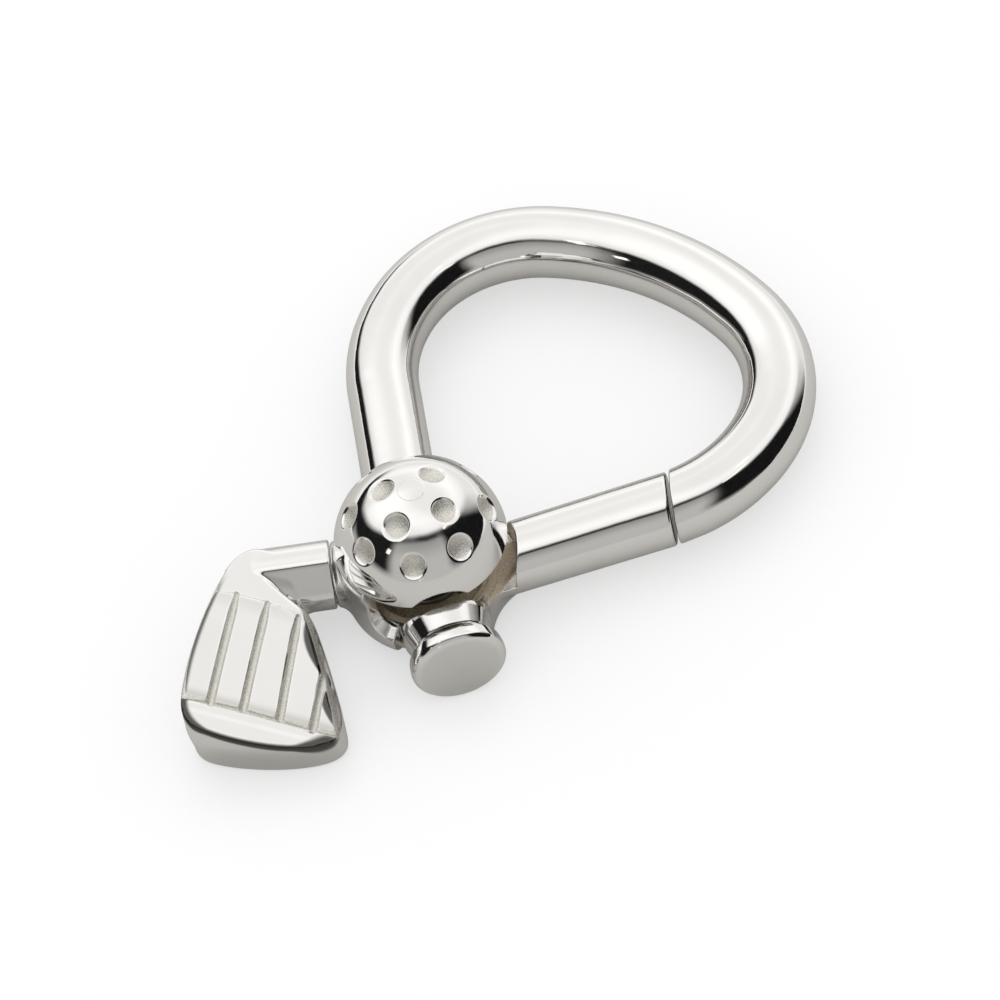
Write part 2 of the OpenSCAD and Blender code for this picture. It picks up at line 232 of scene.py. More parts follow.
def make(name, pts, faces, normals=None):
    """Mesh object from millimetre points."""
    me = bpy.data.meshes.new(name)
    pts = (np.asarray(pts, float) + PIV) * MM
    if isinstance(faces, np.ndarray):
        me.vertices.add(len(pts))
        me.vertices.foreach_set("co", pts.ravel())
        k = faces.shape[1]
        me.loops.add(faces.size)
        me.loops.foreach_set("vertex_index", faces.ravel().astype(np.int32))
        me.polygons.add(len(faces))
        me.polygons.foreach_set("loop_start", np.arange(0, faces.size, k, dtype=np.int32))
        me.update(calc_edges=True)
    else:
        me.from_pydata(pts.tolist(), [], faces)
    me.validate()
    me.polygons.foreach_set("use_smooth", [True] * len(me.polygons))
    if normals is not None:
        me.normals_split_custom_set_from_vertices(np.asarray(normals, float).tolist())
    ob = bpy.data.objects.new(name, me)
    bpy.context.scene.collection.objects.link(ob)
    return ob


def lathe(name, prof, frm, seg=128, closed_ends=True):
    """Turned piece. prof is (along, radius) pairs, frm a 4x4 whose x axis is the turning axis (mm)."""
    prof = np.array(prof, float)
    m = len(prof)
    # normals of the profile, averaged at its points
    d = np.diff(prof, axis=0)
    nn = np.stack([-d[:, 1], d[:, 0]], 1)
    nn /= np.maximum(np.linalg.norm(nn, axis=1), 1e-9)[:, None]
    vn = np.zeros_like(prof)
    vn[:-1] += nn
    vn[1:] += nn
    vn /= np.maximum(np.linalg.norm(vn, axis=1), 1e-9)[:, None]
    th = np.linspace(0, 2 * math.pi, seg, endpoint=False)
    pts, nrm = [], []
    for (a, r), (na, nr) in zip(prof, vn):
        for t in th:
            pts.append((a, r * math.cos(t), r * math.sin(t)))
            nrm.append((na, nr * math.cos(t), nr * math.sin(t)))
    faces = []
    for i in range(m - 1):
        for k in range(seg):
            k2 = (k + 1) % seg
            faces.append((i * seg + k, (i + 1) * seg + k, (i + 1) * seg + k2, i * seg + k2))
    pts, nrm = np.array(pts), np.array(nrm)
    if closed_ends:
        for i, a in ((0, prof[0, 0]), (m - 1, prof[-1, 0])):
            pts = np.vstack([pts, [a, 0, 0]])
            s = -1.0 if i == 0 else 1.0
            nrm = np.vstack([nrm, [s, 0, 0]])
            c = len(pts) - 1
            for k in range(seg):
                k2 = (k + 1) % seg
                faces.append((c, i * seg + k, i * seg + k2) if i == 0 else (c, i * seg + k2, i * seg + k))
    R = np.array([[frm[i][j] for j in range(3)] for i in range(3)])
    o = np.array([frm[i][3] for i in range(3)])
    pts = pts @ R.T + o
    nrm = nrm @ R.T
    faces = [f[::-1] for f in faces]
    return make(name, pts, faces, nrm)


def axes(origin, x, z=(0, 0, 1)):
    x = Vector(x).normalized()
    y = Vector(z).cross(x).normalized()
    z = x.cross(y)
    return [[x[i], y[i], z[i], origin[i]] for i in range(3)]


# ---------------------------------------------------------------- shared geometry (mm, about the pivot)
GATE = rad(43.3)
GU = (math.sin(GATE), math.cos(GATE))               # along the gate
GP = (-math.cos(GATE), math.sin(GATE))              # towards the inside of the loop
GF = (0.93 * math.cos(GATE), -0.93 * math.sin(GATE))
JOINT = 17.1
JN = np.array([0.973 * GU[0] - 0.220 * GP[0], 0.973 * GU[1] - 0.220 * GP[1], 0.071])
JN /= np.linalg.norm(JN)
JP = np.array([GF[0] + JOINT * GU[0], GF[1] + JOINT * GU[1], 0.0])
JOINT_GAP = 0.22
GRIP = rad(-44.4)
PU = (math.cos(GRIP), math.sin(GRIP))
PV = (-math.sin(GRIP), math.cos(GRIP))


def loop_path():
    """Centreline of the fixed part of the loop from the joint round to the housing."""
    off, apex, fr, fh, sr, lr, fa = 1.05, 30.15, 20.7, 22.5, 10.0, 11.5, 38.0
    fcy = apex - fr
    shx = (fr - sr) * math.sin(rad(fh))
    shy = fcy + (fr - sr) * math.cos(rad(fh))
    lox = shx + sr - lr
    p = []

    def arc(cx, cy, r, a0, a1, n):
        for a in np.linspace(a0, a1, n, endpoint=False):
            p.append((cx + r * math.cos(rad(a)), cy + r * math.sin(rad(a)), -math.sin(rad(a)), math.cos(rad(a))))
    arc(off + lox, shy, lr, -46, 0, 70)
    arc(off + shx, shy, sr, 0, 90 - fh, 90)
    arc(off, fcy, fr, 90 - fh, 90 + fh, 110)
    arc(off - shx, shy, sr, 90 + fh, 180, 90)
    arc(off - lox, shy, lr, 180, 180 + fa, 60)
    ax = off - lox - lr * math.cos(rad(fa))
    ay = shy - lr * math.sin(rad(fa))
    dx, dy = math.sin(rad(fa)), -math.cos(rad(fa))
    run = -(ax * dx + ay * dy) - 5.0
    for t in np.linspace(0, run, 60):
        p.append((ax + dx * t, ay + dy * t, dx, dy))
    return np.array(p)


ARM_P = None


def build_loop():
    global ARM_P
    path = loop_path()
    ARM_P = path[-1]
    m = 96
    th = np.linspace(0, 2 * math.pi, m, endpoint=False)
    # rings before the joint plane are dropped; the first kept ring is met by the end's rounding
    s0 = (path[:, 0] - JP[0]) * JN[0] + (path[:, 1] - JP[1]) * JN[1]
    start = int(np.argmax((s0 > 1.1) & (np.arange(len(path)) < 90)))
    rings, norms = [], []

    def ring(x, y, tx, ty):
        out = np.array([ty, -tx, 0.0])
        n = out[None] * np.cos(th)[:, None] + np.array([0, 0, 1.0])[None] * np.sin(th)[:, None]
        return np.array([x, y, 0.0])[None] + ROD_R * n, n
    base, bn = ring(*path[start])
    # run each line of the tube back along the curve to the plane
    body = [ring(*q) for q in path[start:]]
    t = np.array([path[start][2], path[start][3], 0.0])
    # the little piece between the first ring and the plane follows the arc
    end = np.zeros_like(base)
    endn = np.zeros_like(bn)
    tang = np.zeros_like(bn)
    fine = [ring(*q) for q in path[:start + 1]]
    P = np.stack([f[0] for f in fine]); N = np.stack([f[1] for f in fine])
    S = ((P - JP) @ JN) - JOINT_GAP / 2
    for k in range(m):
        s = S[:, k]
        i = int(np.argmax(s > 0))
        i = max(i, 1)
        u = (0 - s[i - 1]) / (s[i] - s[i - 1])
        end[k] = P[i - 1, k] * (1 - u) + P[i, k] * u
        nn = N[i - 1, k] * (1 - u) + N[i, k] * u
        endn[k] = nn / np.linalg.norm(nn)
        d = P[i, k] - P[i - 1, k]
        tang[k] = d / np.linalg.norm(d)
    cen = end.mean(0)
    rho = 0.13
    inward = cen - end
    inward -= (inward @ JN)[:, None] * JN
    inward /= np.linalg.norm(inward, axis=1)[:, None]
    for q in (0.0, 0.45, 0.8):
        rings.append(cen + (end - cen) * 0 if q == 0 else cen + (end - cen) * q)
        norms.append(np.repeat(-JN[None], m, 0))
    rings[0] = rings[0] + (end - cen) * 0.02
    rings.append(end + inward * (rho * 1.25)); norms.append(np.repeat(-JN[None], m, 0))
    for ph in np.linspace(0, 90, 7):
        c, s = math.cos(rad(ph)), math.sin(rad(ph))
        rings.append(end + inward * rho * (1 - s) + tang * rho * (1 - c))
        v = -JN[None] * c + endn * s
        norms.append(v / np.linalg.norm(v, axis=1)[:, None])
    edge = end + tang * rho
    first = body[0][0]
    for u in (0.02, 0.33, 0.66):
        # between the rounding and the first full ring
        q = edge * (1 - u) + first * u
        rings.append(q); v = endn * (1 - u) + bn * u
        norms.append(v / np.linalg.norm(v, axis=1)[:, None])
    for f in body:
        rings.append(f[0]); norms.append(f[1])
    lastc = np.array([path[-1][0], path[-1][1], 0.0])
    rings.append(lastc + (body[-1][0] - lastc) * 0.02)
    tl = np.array([path[-1][2], path[-1][3], 0.0])
    norms.append(np.repeat(tl[None], m, 0))
    pts = np.concatenate(rings)
    nrm = np.concatenate(norms)
    R = len(rings)
    i = np.arange(R - 1)[:, None]
    k = np.arange(m)[None, :]
    k2 = (k + 1) % m
    quads = np.stack(np.broadcast_arrays(i * m + k, (i + 1) * m + k, (i + 1) * m + k2, i * m + k2), -1).reshape(-1, 4)
    c0, c1 = len(pts), len(pts) + 1
    pts = np.vstack([pts, rings[0].mean(0), lastc])
    nrm = np.vstack([nrm, -JN, tl])
    faces = quads.tolist()
    for kk in range(m):
        faces.append([c0, kk, (kk + 1) % m])
        faces.append([c1, (R - 1) * m + (kk + 1) % m, (R - 1) * m + kk])
    # outward winding
    v0 = pts[faces[len(faces) // 2][0]]
    f = faces[len(quads) // 2]
    a, b, c = pts[f[0]], pts[f[1]], pts[f[2]]
    if np.dot(np.cross(b - a, c - a), nrm[f[0]]) < 0:
        faces = [x[::-1] for x in faces]
    ob = make("loop_bar", pts, faces, nrm)
    # painted shade: the end face at the joint and the start of its rounding are painted near black, for the shade
    # falling in the gap
    w = np.zeros(len(pts), np.float32)
    w[:7 * m] = 0.88
    w[c0] = 0.88
    at = ob.data.attributes.new("painted_shade_and_reflection", "FLOAT", "POINT")
    at.data.foreach_set("value", w)
    return ob


# ---------------------------------------------------------------- half ball
DIMPLES = [(21.0, -162.4), (19.9, 77.3), (26.9, -4.1), (27.7, -83.0), (51.7, -18.1), (53.4, -61.5), (53.3, -107.4),
           (55.7, 30.1), (49.7, -146.0), (60.0, 76.0), (53.0, 166.0), (53.0, 121.0)]
DIMPLE_R, DIMPLE_D = 0.93, 0.36


def dirv(tilt, bearing):
    return (math.sin(rad(tilt)) * math.cos(rad(bearing)), math.sin(rad(tilt)) * math.sin(rad(bearing)), math.cos(rad(tilt)))


def dome_field(x, y, z):
    zc = z - BALL_Z
    r = np.sqrt(x * x + y * y + zc * zc)
    d = r - BALL_R
    sr = (DIMPLE_R ** 2 + DIMPLE_D ** 2) / (2 * DIMPLE_D)
    at = BALL_R * math.cos(math.asin(DIMPLE_R / BALL_R)) - DIMPLE_D + sr
    for t, b in DIMPLES:
        v = dirv(t, b)
        q = np.sqrt((x - v[0] * at) ** 2 + (y - v[1] * at) ** 2 + (zc - v[2] * at) ** 2) - sr
        d = smax(d, -q, 0.09)
    # lower rim, with the arched notch over the grip
    d = smax(d, DOME_Z + 0.02 - z, 0.16)
    a = rad(-44.4 - 1.5)
    u = x * math.cos(a) + y * math.sin(a)
    w = -x * math.sin(a) + y * math.cos(a)
    arch = np.sqrt(w * w + (z - (DOME_Z - 1.4)) ** 2) - 2.35
    arch = np.where(u > 2.5, arch, 5.0 + 0 * arch)
    d = smax(d, -arch, 0.14)
    d = smax(d, -(r - (BALL_R - 0.9)), 0.1)
    # bore for the pin
    d = smax(d, 0.9 - np.sqrt(x * x + y * y), 0.05)
    return d


# ---------------------------------------------------------------- housing
HDIR = rad(215.3)


def bar_field(x, y, z, px, py, ux, uy, r):
    wx, wy = x - px, y - py
    a = wx * ux + wy * uy
    q = -wx * uy + wy * ux
    return np.sqrt(q * q + z * z) - r, a


def cup_field(x, y, z):
    rr = np.sqrt(x * x + y * y)
    ang = np.degrees(np.arctan2(y, x))
    top = DOME_Z - 0.02
    d = smax(rr - 5.66, CUP_BOTTOM - z, 1.9)
    # flared collar that the ball sits on, and its fillet into the hosel's seat
    torus = np.sqrt((rr - 5.42) ** 2 + (z - 3.2) ** 2) - 0.32
    d = smin(d, torus, 0.9)
    hx, hy = math.cos(HDIR), math.sin(HDIR)
    hf, ha = bar_field(x, y, z, -1.0 * -hy * 1.0, -1.0 * hx, hx, hy, 2.2)
    wob = 0.03 * np.sin(3.1 * x + 1.3 * z) * np.cos(2.3 * y - 1.1 * z)
    seat = smax(hf + wob, ha - 6.22, 0.25)
    seat = smax(seat, 3.0 - ha, 0.1)
    d = smin(d, seat, 1.0)
    ax, ay, adx, ady = ARM_P
    af, aa = bar_field(x, y, z, ax, ay, adx, ady, 2.42)
    arm = smax(smax(af, -1.25 - aa, 0.2), aa - 1.5, 0.1)
    d = smin(d, arm, 0.5)
    d = smax(d, z - top, 0.18)
    inner = smax(rr - 4.75, -1.8 - z, 0.15)
    d = smax(d, -inner, 0.1)
    # window: u is along the wall, from one edge of the window to the other
    u = (ang + 1.0) * 0.0995
    half = 10.0
    sill = 0.0 - 0.62 * np.clip(rr - 4.75, 0.0, 1.0)
    qx, qz = np.abs(u) - (half - 1.5), (sill + 1.5) - z
    win = np.sqrt(np.maximum(qx, 0) ** 2 + np.maximum(qz, 0) ** 2) + np.minimum(np.maximum(qx, qz), 0) - 1.5
    win = np.maximum(win, 3.2 - rr)
    d = smax(d, -win * 0.9, 0.14)
    # deeper cut for the lever's web, outside the floor
    qx = np.abs((ang - 7.5) * 0.0995) - 9.1
    deep = np.maximum(qx, 4.77 - rr)
    d = smax(d, -deep, 0.1)
    return d


# ---------------------------------------------------------------- lever: hub, web, neck and gate in one casting
def lever_field(x, y, z):
    rr = np.sqrt(x * x + y * y)
    # hub cup turning inside the housing
    hub = smax(np.maximum(rr - 4.62, -1.44 - z), z - 0.1, 0.1)
    # web
    web_arc = (x - 5.06) - 0.10 * (y - 0.9) ** 2 * step01(-z, -0.2, 2.6) - 0.012 * (y - 0.9) ** 2
    w_u = x * PV[0] + y * PV[1]
    w_a = x * PU[0] + y * PU[1]
    quad = np.maximum(np.maximum(-w_u - 0.2, rr - 6.9), (x * GP[0] + y * GP[1]) - 0.3)
    web = smax(smax(quad, web_arc, 0.1), np.maximum(-2.45 - z, z - 0.1), 0.25)
    web = np.maximum(web, np.where(z < -1.4, 4.92 - rr, 4.3 - rr))
    d = smin(hub, web, 0.15)
    # neck of the grip
    nf = (np.sqrt(w_u * w_u + z * z) - (3.03 - 0.30 * np.clip(w_a - 5.3, 0.0, 1.4))) * 0.96
    neck = smax(nf, w_a - 6.66, 0.16)
    neck = np.maximum(neck, 2.0 - w_a)
    back = np.where(z > 0.1, 5.32 - rr, 4.5 - rr)
    neck = smax(neck, back, 0.08)
    neck = np.maximum(neck, np.where(z < -0.7, 4.92 - rr, -1.0 + 0 * rr))
    d = smin(d, neck, 0.45)
    # gate arm
    gx, gy = x - GF[0], y - GF[1]
    a = gx * GU[0] + gy * GU[1]
    p = gx * GP[0] + gy * GP[1]
    gr = 2.375 + 0.125 * np.clip(a, 0, JOINT) / JOINT
    gf = np.sqrt(p * p + z * z) - gr
    jd = (x - JP[0]) * JN[0] + (y - JP[1]) * JN[1] + z * JN[2] + JOINT_GAP / 2
    gate = np.maximum(smax(gf, jd, 0.26), 2.0 - a)
    top = smax(gate, 6.2 - rr, 0.16)
    low = np.maximum(smax(gate, z + 0.15, 0.05), np.where(z < -1.4, 4.92 - rr, 4.4 - rr))
    low = np.maximum(low, a - 9.0)
    g = np.minimum(top, low)
    d = smin(d, g, 0.35)
    # spring chamber and boss
    ch = np.maximum(rr - 3.9, -0.75 - z)
    boss = smax(rr - 1.9, z - 0.0, 0.06)
    d = smax(d, -np.maximum(ch, -boss), 0.08)
    d = np.maximum(d, 1.54 - rr)
    return d


def lever_shade(x, y, z):
    """Painted shade: the gate's end face in the joint gap is painted near black."""
    jd = (x - JP[0]) * JN[0] + (y - JP[1]) * JN[1] + z * JN[2] + JOINT_GAP / 2
    return 0.88 * step01(jd, -0.10, -0.02)


# ---------------------------------------------------------------- club head
HEAD_AT = (-10.35, -6.3)
HEAD_TURN = rad(-71)
FACE = rad(16)
FACE_Y, FACE_Z = -1.8, 2.9
OUTLINE = [(-2.0, 0.7), (-1.2, -0.4), (0.6, -1.2), (4.5, -1.8), (9.0, -2.0), (11.2, -1.7), (12.1, -1.1), (12.5, -0.1),
           (12.65, 2), (12.45, 4.6), (11.9, 6.9), (11.2, 8.2), (10.3, 8.7), (9.4, 8.5), (7.2, 7.5), (4.3, 6.1), (2.2, 4.9),
           (1.0, 3.6), (-0.8, 2.6)]
GROOVES = [((2.2, 0.05), (11.1, 0.15)), ((2.3, 2.1), (11.0, 2.28)), ((2.75, 4.25), (11.0, 4.68)), ((6.3, 6.7), (11.15, 6.88))]
STEP = [(11.35, -1.3), (11.14, 0.3), (11.06, 2.3), (11.16, 4.7), (11.33, 6.9), (11.3, 8.6)]
PANEL = [(2.45, -1.5), (2.2, 0.0), (2.22, 1.8), (2.35, 2.9), (2.8, 3.9)]


def seg2(x, y, a, b):
    ex, ey = b[0] - a[0], b[1] - a[1]
    wx, wy = x - a[0], y - a[1]
    t = np.clip((wx * ex + wy * ey) / (ex * ex + ey * ey), 0, 1)
    return np.sqrt((wx - ex * t) ** 2 + (wy - ey * t) ** 2)


def face_height(ly, z):
    """Height above the face plane, and distance up the slope."""
    c, s = math.cos(FACE), math.sin(FACE)
    return (z - FACE_Z) * c + (ly - FACE_Y) * s, (ly - FACE_Y) * c - (z - FACE_Z) * s


HOUT = round_outline(OUTLINE)
HTOP = round_outline(OUTLINE[1:-2] + [(1.75, 3.95), (0.85, 2.35), (-0.1, 0.8), (-1.0, 0.2)])


def head_local(x, y, z):
    c, s = math.cos(HEAD_TURN), math.sin(HEAD_TURN)
    wx, wy = x - HEAD_AT[0], y - HEAD_AT[1]
    lx = wx * c + wy * s
    ly = -wx * s + wy * c
    fh, fv = face_height(ly, z)
    fh = fh + 0.0035 * (lx - 6.0) ** 2 * step01(lx, 0.0, 2.0) - 0.04
    # bevel along the top line, and the lip at the toe
    out = -(lx - 2.4) * 0.416 + (ly - 4.5) * 0.909
    bev = out * math.sin(rad(40)) + fh * math.cos(rad(40))
    lip = (lx - 11.1) * math.sin(rad(8)) + fh * math.cos(rad(8)) + 0.015
    return lx, ly, fh, bev, lip


def leaning(lx, ly, z, outline):
    """Walls of the head; the one at the toe leans out toward the top."""
    near, far = poly2(lx, ly, outline), poly2(lx - 0.72, ly, outline)
    return near + (far - near) * step01(lx, 8.5, 11.5) * step01(z, -3.2, 0.6)


def head_field(x, y, z):
    lx, ly, fh, bev, lip = head_local(x, y, z)
    # flat ground on the camera side of the hosel and its gusset
    hx, hy = math.cos(HDIR), math.sin(HDIR)
    hf, ha = bar_field(x, y, z, hy, -hx, hx, hy, 2.35)
    hu = -x * hy + y * hx + 1.0
    flat = hu * math.sin(rad(46)) + z * math.cos(rad(46)) - 2.02
    base = -3.2 - z
    d = smax(leaning(lx, ly, z, HTOP), base, 0.55)
    inset = 0.25 * step01(lx, 0.3, 2.4) * step01(-ly, -1.5, 0.0)
    gus = smax(smax(leaning(lx, ly, z, HOUT) + inset, base + 0.3, 0.55), flat, 0.16)
    gus = np.maximum(gus, lx - 3.6)
    d = smin(d, gus, 0.2)
    d = smax(d, fh, 0.40)
    d = smax(d, bev, 0.16)
    d = smax(d, lip, 0.05 + 0.33 * step01(lx, 11.5, 12.2))
    # hosel
    hos = smax(hf, flat, 0.14)
    hos = smax(smax(hos, 6.32 - ha, 0.16), ha - 12.3, 1.2)
    hos = smax(hos, -0.406 * (lx + 1.2) - 0.914 * (ly + 0.4) - 0.1, 0.5)
    k = 0.2 + np.maximum(0.9 * step01(-z, -0.4, 1.2), (0.25 + 0.65 * step01(-z, -1.2, 0.0)) * step01(-hu, -0.2, 1.2))
    d = np.maximum(smin(d, hos, k), base)
    # grooves, the line at the toe, the scribed line at the heel
    for a, b in GROOVES:
        gr = 0.25 * (0.55 + 0.45 * step01(lx, a[0] - 0.2, a[0] + 1.6))
        g = np.sqrt(seg2(lx, ly, a, b) ** 2 + (fh - 0.02) ** 2) - gr
        d = smax(d, -g, 0.16)
    for a, b in zip(STEP[:-1], STEP[1:]):
        g = np.sqrt(seg2(lx, ly, a, b) ** 2 + (fh - 0.02) ** 2) - 0.12
        d = smax(d, -g, 0.05)
    for a, b in zip(PANEL[:-1], PANEL[1:]):
        g = np.sqrt(seg2(lx, ly, a, b) ** 2 + (fh - 0.05) ** 2) - 0.095
        d = smax(d, -g, 0.04)
    return d


def head_shade(x, y, z):
    """Painted dark reflection along the rounded edges and on the bevel's facets, and painted grey shade near the toe's
    lip and the heel's line.
    """
    lx, ly, fh, bev, lip = head_local(x, y, z)
    side = leaning(lx, ly, z, HOUT)
    top = np.maximum(fh, lip)
    near = np.abs(side - top)
    # painted dark reflection along the rounded edges, widest at the toe's top corner
    wide = 0.16 + 0.16 * step01(-ly, -0.4, 0.8) + 0.10 * step01(lx, 10.0, 12.0) + 0.46 * step01(ly, 5.6, 7.6) * step01(lx, 10.4, 11.6)
    edge = 1.0 - step01(near, wide * 0.7, wide * 1.5)
    edge = edge * np.maximum(step01(lx, 10.6, 11.6), step01(-ly, -0.2, 1.0)) * step01(lx, 0.5, 3.0)
    edge = edge * (0.92 + 0.08 * step01(lx, 8.0, 11.8))
    # painted dark reflection in the two hollow facets of the bevel
    out = -(lx - 2.4) * 0.416 + (ly - 4.5) * 0.909
    prof = np.maximum(np.maximum(1 - ((lx - 4.9) / 2.0) ** 2, 1 - ((lx - 9.0) / 1.8) ** 2), 0.0)
    lens = step01(out, -0.52 * prof - 0.05, -0.52 * prof + 0.12) * (1 - step01(out, 0.10, 0.22)) * step01(prof, 0.02, 0.2) * (top > -0.6) * 0.9
    # painted grey shade near the toe's lip, and faintly near the heel's scribed line
    soft = 0.34 * step01(lx, 10.1, 11.05) * (lx < 11.12) * (np.abs(fh) < 0.09)
    soft = np.maximum(soft, 0.10 * step01(lx, 2.0, 2.6) * (1 - step01(lx, 2.6, 3.8)) * (np.abs(fh) < 0.09) * (lx > 2.4))
    return np.maximum(np.maximum(edge * 0.93, lens), soft)


# ---------------------------------------------------------------- build the pieces
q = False
loop = build_loop()
H = 1.6 if q else 1.0
dome = grow("half_ball", dome_field, dome_lo - 0.3, dome_hi + 0.3, 0.065 * H)
cup = grow("housing", cup_field, cup_lo - 0.4, cup_hi + 0.4, 0.075 * H)
lever = grow("lever", lever_field, np.minimum(hub_lo, gate_lo) - 0.4, np.maximum(hub_hi, gate_hi) + 0.4, 0.08 * H, lever_shade)
head = grow("iron_head", head_field, head_lo - np.array([1.2, 1.3, 0.4]), head_hi + np.array([0.8, 0.4, 0.4]), 0.075 * H, head_shade)

# end cap of the grip, turned, with its groove
R = 3.25
prof = [(6.3, 2.62), (6.9, 2.62), (6.98, 2.64), (7.02, 2.72)]
prof += [(7.02, 2.95), (7.03, 3.03), (7.07, 3.1), (7.13, 3.15), (7.22, 3.18), (7.5, 3.22), (7.72, R - 0.005), (7.82, R)]
prof += [(7.87 + 0.52 * math.sin(rad(a)), R - 0.52 + 0.52 * math.cos(rad(a))) for a in range(0, 90, 6)]
prof += [(8.392, R - 0.53), (8.395, R - 0.6), (8.398, 2.4), (8.4, 1.6), (8.4, 0.8), (8.4, 0.05)]
cap = lathe("grip_end", prof, axes((0, 0, 0), (PU[0], PU[1], 0)), seg=160)

# pin with its polished end flush in the ball's crown
pr = 0.925
prof = [(CUP_BOTTOM, 0.02), (CUP_BOTTOM, 0.5), (CUP_BOTTOM, pr - 0.12), (CUP_BOTTOM + 0.03, pr - 0.04), (CUP_BOTTOM + 0.1, pr), (0.0, pr)]
zt = BALL_Z + math.sqrt(BALL_R ** 2 - pr ** 2)
prof += [(zt - 0.3, pr), (zt - 0.045, pr), (zt - 0.02, pr - 0.008), (zt - 0.002, pr - 0.03)]
prof += [(BALL_Z + math.sqrt(BALL_R ** 2 - r * r), r) for r in (0.85, 0.7, 0.5, 0.3, 0.1, 0.02)]
pin = lathe("rivet_pin", prof, [[0, 1, 0, 0], [0, 0, 1, 0], [1, 0, 0, 0]], seg=96)

# return spring: round wire, both legs bent into their holes
def build_spring():
    coil_r, wire, turns = 2.45, 0.25, 4
    z0 = -0.75 + wire + 0.05
    pitch = 0.62
    path = [np.array([coil_r, 0, -1.25]), np.array([coil_r, 0, -0.95])]
    end = 360 * turns + 40
    for a in np.linspace(0, end, 40 * turns)[1:-1]:
        path.append(np.array([coil_r * math.cos(rad(a)), coil_r * math.sin(rad(a)), z0 + pitch * a / 360]))
    tx, ty = coil_r * math.cos(rad(end)), coil_r * math.sin(rad(end))
    tz = z0 + pitch * end / 360
    path += [np.array([tx, ty, tz + 0.25]), np.array([tx, ty, 3.8])]
    path = np.array(path)
    m = 20
    pts, nrm = [], []
    for i in range(len(path)):
        t = path[min(i + 1, len(path) - 1)] - path[max(i - 1, 0)]
        t /= np.linalg.norm(t)
        r = np.array([path[i][0], path[i][1], 0.0])
        r /= np.linalg.norm(r)
        r -= (r @ t) * t
        r /= np.linalg.norm(r)
        b = np.cross(t, r)
        for k in range(m):
            n = r * math.cos(2 * math.pi * k / m) + b * math.sin(2 * math.pi * k / m)
            pts.append(path[i] + wire * n)
            nrm.append(n)
    faces = []
    for i in range(len(path) - 1):
        for k in range(m):
            k2 = (k + 1) % m
            faces.append((i * m + k, i * m + k2, (i + 1) * m + k2, (i + 1) * m + k))
    n = len(path)
    faces.append(tuple(range(m))[::-1])
    faces.append(tuple((n - 1) * m + k for k in range(m)))
    return make("torsion_spring", pts, faces, nrm)


spring = build_spring()


# ---------------------------------------------------------------- materials
def nodes_of(name):
    mat = bpy.data.materials.new(name)
    mat.use_nodes = True
    nt = mat.node_tree
    nt.nodes.clear()
    out = nt.nodes.new("ShaderNodeOutputMaterial")
    return mat, nt, out


class G:
    """Small helper to wire math nodes."""

    def __init__(self, nt):
        self.nt = nt

    def put(self, sock, v):
        if isinstance(v, bpy.types.NodeSocket):
            self.nt.links.new(v, sock)
        elif v is not None:
            try:
                sock.default_value = v
            except Exception:
                sock.default_value = (v, v, v)

    def m(self, op, a, b=None, c=None, clamp=False):
        n = self.nt.nodes.new("ShaderNodeMath")
        n.operation = op
        n.use_clamp = clamp
        for i, v in enumerate((a, b, c)):
            if v is not None:
                self.put(n.inputs[i], v)
        return n.outputs[0]

    def v(self, op, a, b=None):
        n = self.nt.nodes.new("ShaderNodeVectorMath")
        n.operation = op
        self.put(n.inputs[0], a)
        if b is not None:
            self.put(n.inputs[1], b)
        return n.outputs["Value"] if op in ("DOT_PRODUCT", "LENGTH") else n.outputs[0]

    def ramp(self, x, a, b, lo=0.0, hi=1.0):
        n = self.nt.nodes.new("ShaderNodeMapRange")
        n.interpolation_type = "SMOOTHSTEP"
        n.clamp = True
        self.put(n.inputs[0], x)
        if a <= b:
            vals = (a, b, lo, hi)
        else:
            vals = (b, a, hi, lo)
        for i, t in enumerate(vals):
            n.inputs[1 + i].default_value = t
        return n.outputs[0]

    def mix(self, f, a, b):
        n = self.nt.nodes.new("ShaderNodeMix")
        n.data_type = "RGBA"
        self.put(n.inputs[0], f)
        for s, v in ((n.inputs[6], a), (n.inputs[7], b)):
            self.put(s, v if isinstance(v, bpy.types.NodeSocket) else tuple(v) + (1.0,))
        return n.outputs[2]

    def noise(self, vec, scale, detail=2.0, rough=0.5):
        n = self.nt.nodes.new("ShaderNodeTexNoise")
        self.put(n.inputs["Vector"], vec)
        n.inputs["Scale"].default_value = scale
        n.inputs["Detail"].default_value = detail
        n.inputs["Roughness"].default_value = rough
        return n.outputs["Fac"]


SILVER = (0.935, 0.925, 0.91)
SATIN = (0.88, 0.86, 0.80)


